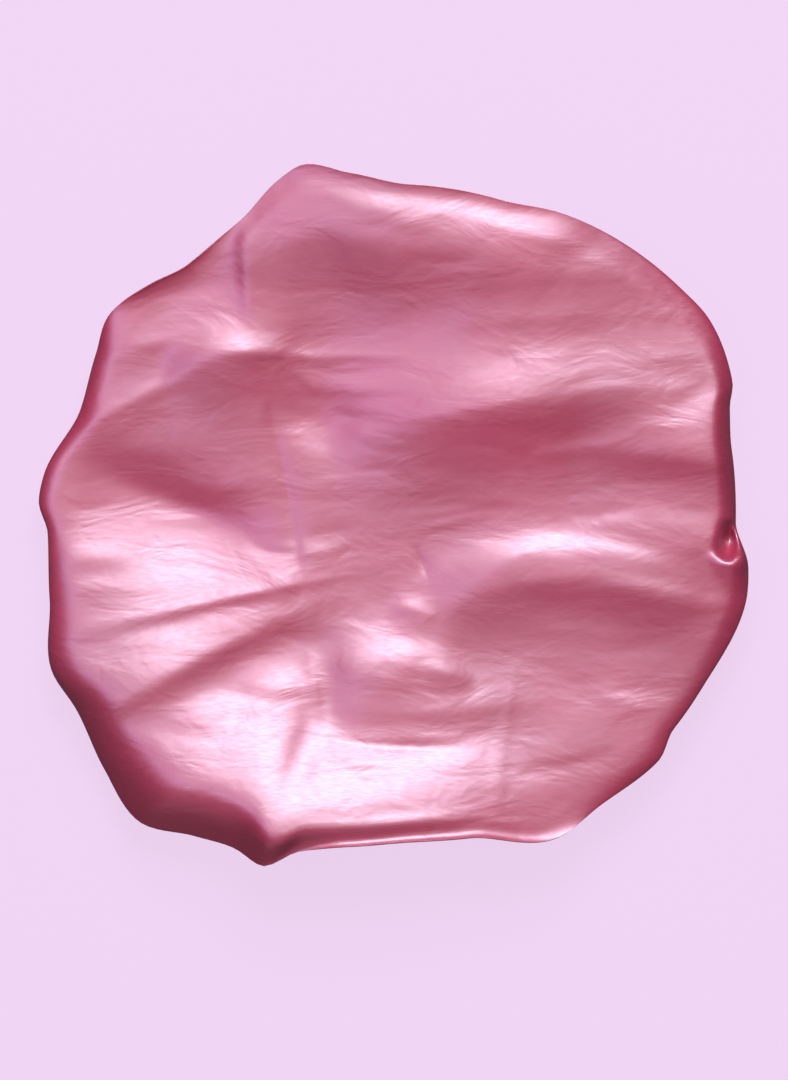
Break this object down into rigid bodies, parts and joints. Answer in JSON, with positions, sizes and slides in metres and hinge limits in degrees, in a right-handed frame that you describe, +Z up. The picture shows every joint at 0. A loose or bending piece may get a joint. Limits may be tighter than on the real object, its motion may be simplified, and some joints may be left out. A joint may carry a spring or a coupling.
{
  "type": "sleep bonnet",
  "caption": "Satin sleep bonnet: a puffed round cloth crown gathered underneath into a ruched elastic casing round its mouth, lying crown up.",
  "frame": {"origin": "on the surface that the bonnet lies on, under the middle of its outline", "axes": "+Z up out of the surface, +X to the right and +Y to the top of the bonnet as it is seen from above"},
  "size_m": [0.3402, 0.3346, 0.0531],
  "materials": {
    "satin": "soft sheen of woven satin",
    "ruched_satin": "ruched satin over elastic"
  },
  "bodies": {
    "root": {"crown": "satin", "elastic_casing": "ruched_satin"}
  },
  "joints": []
}
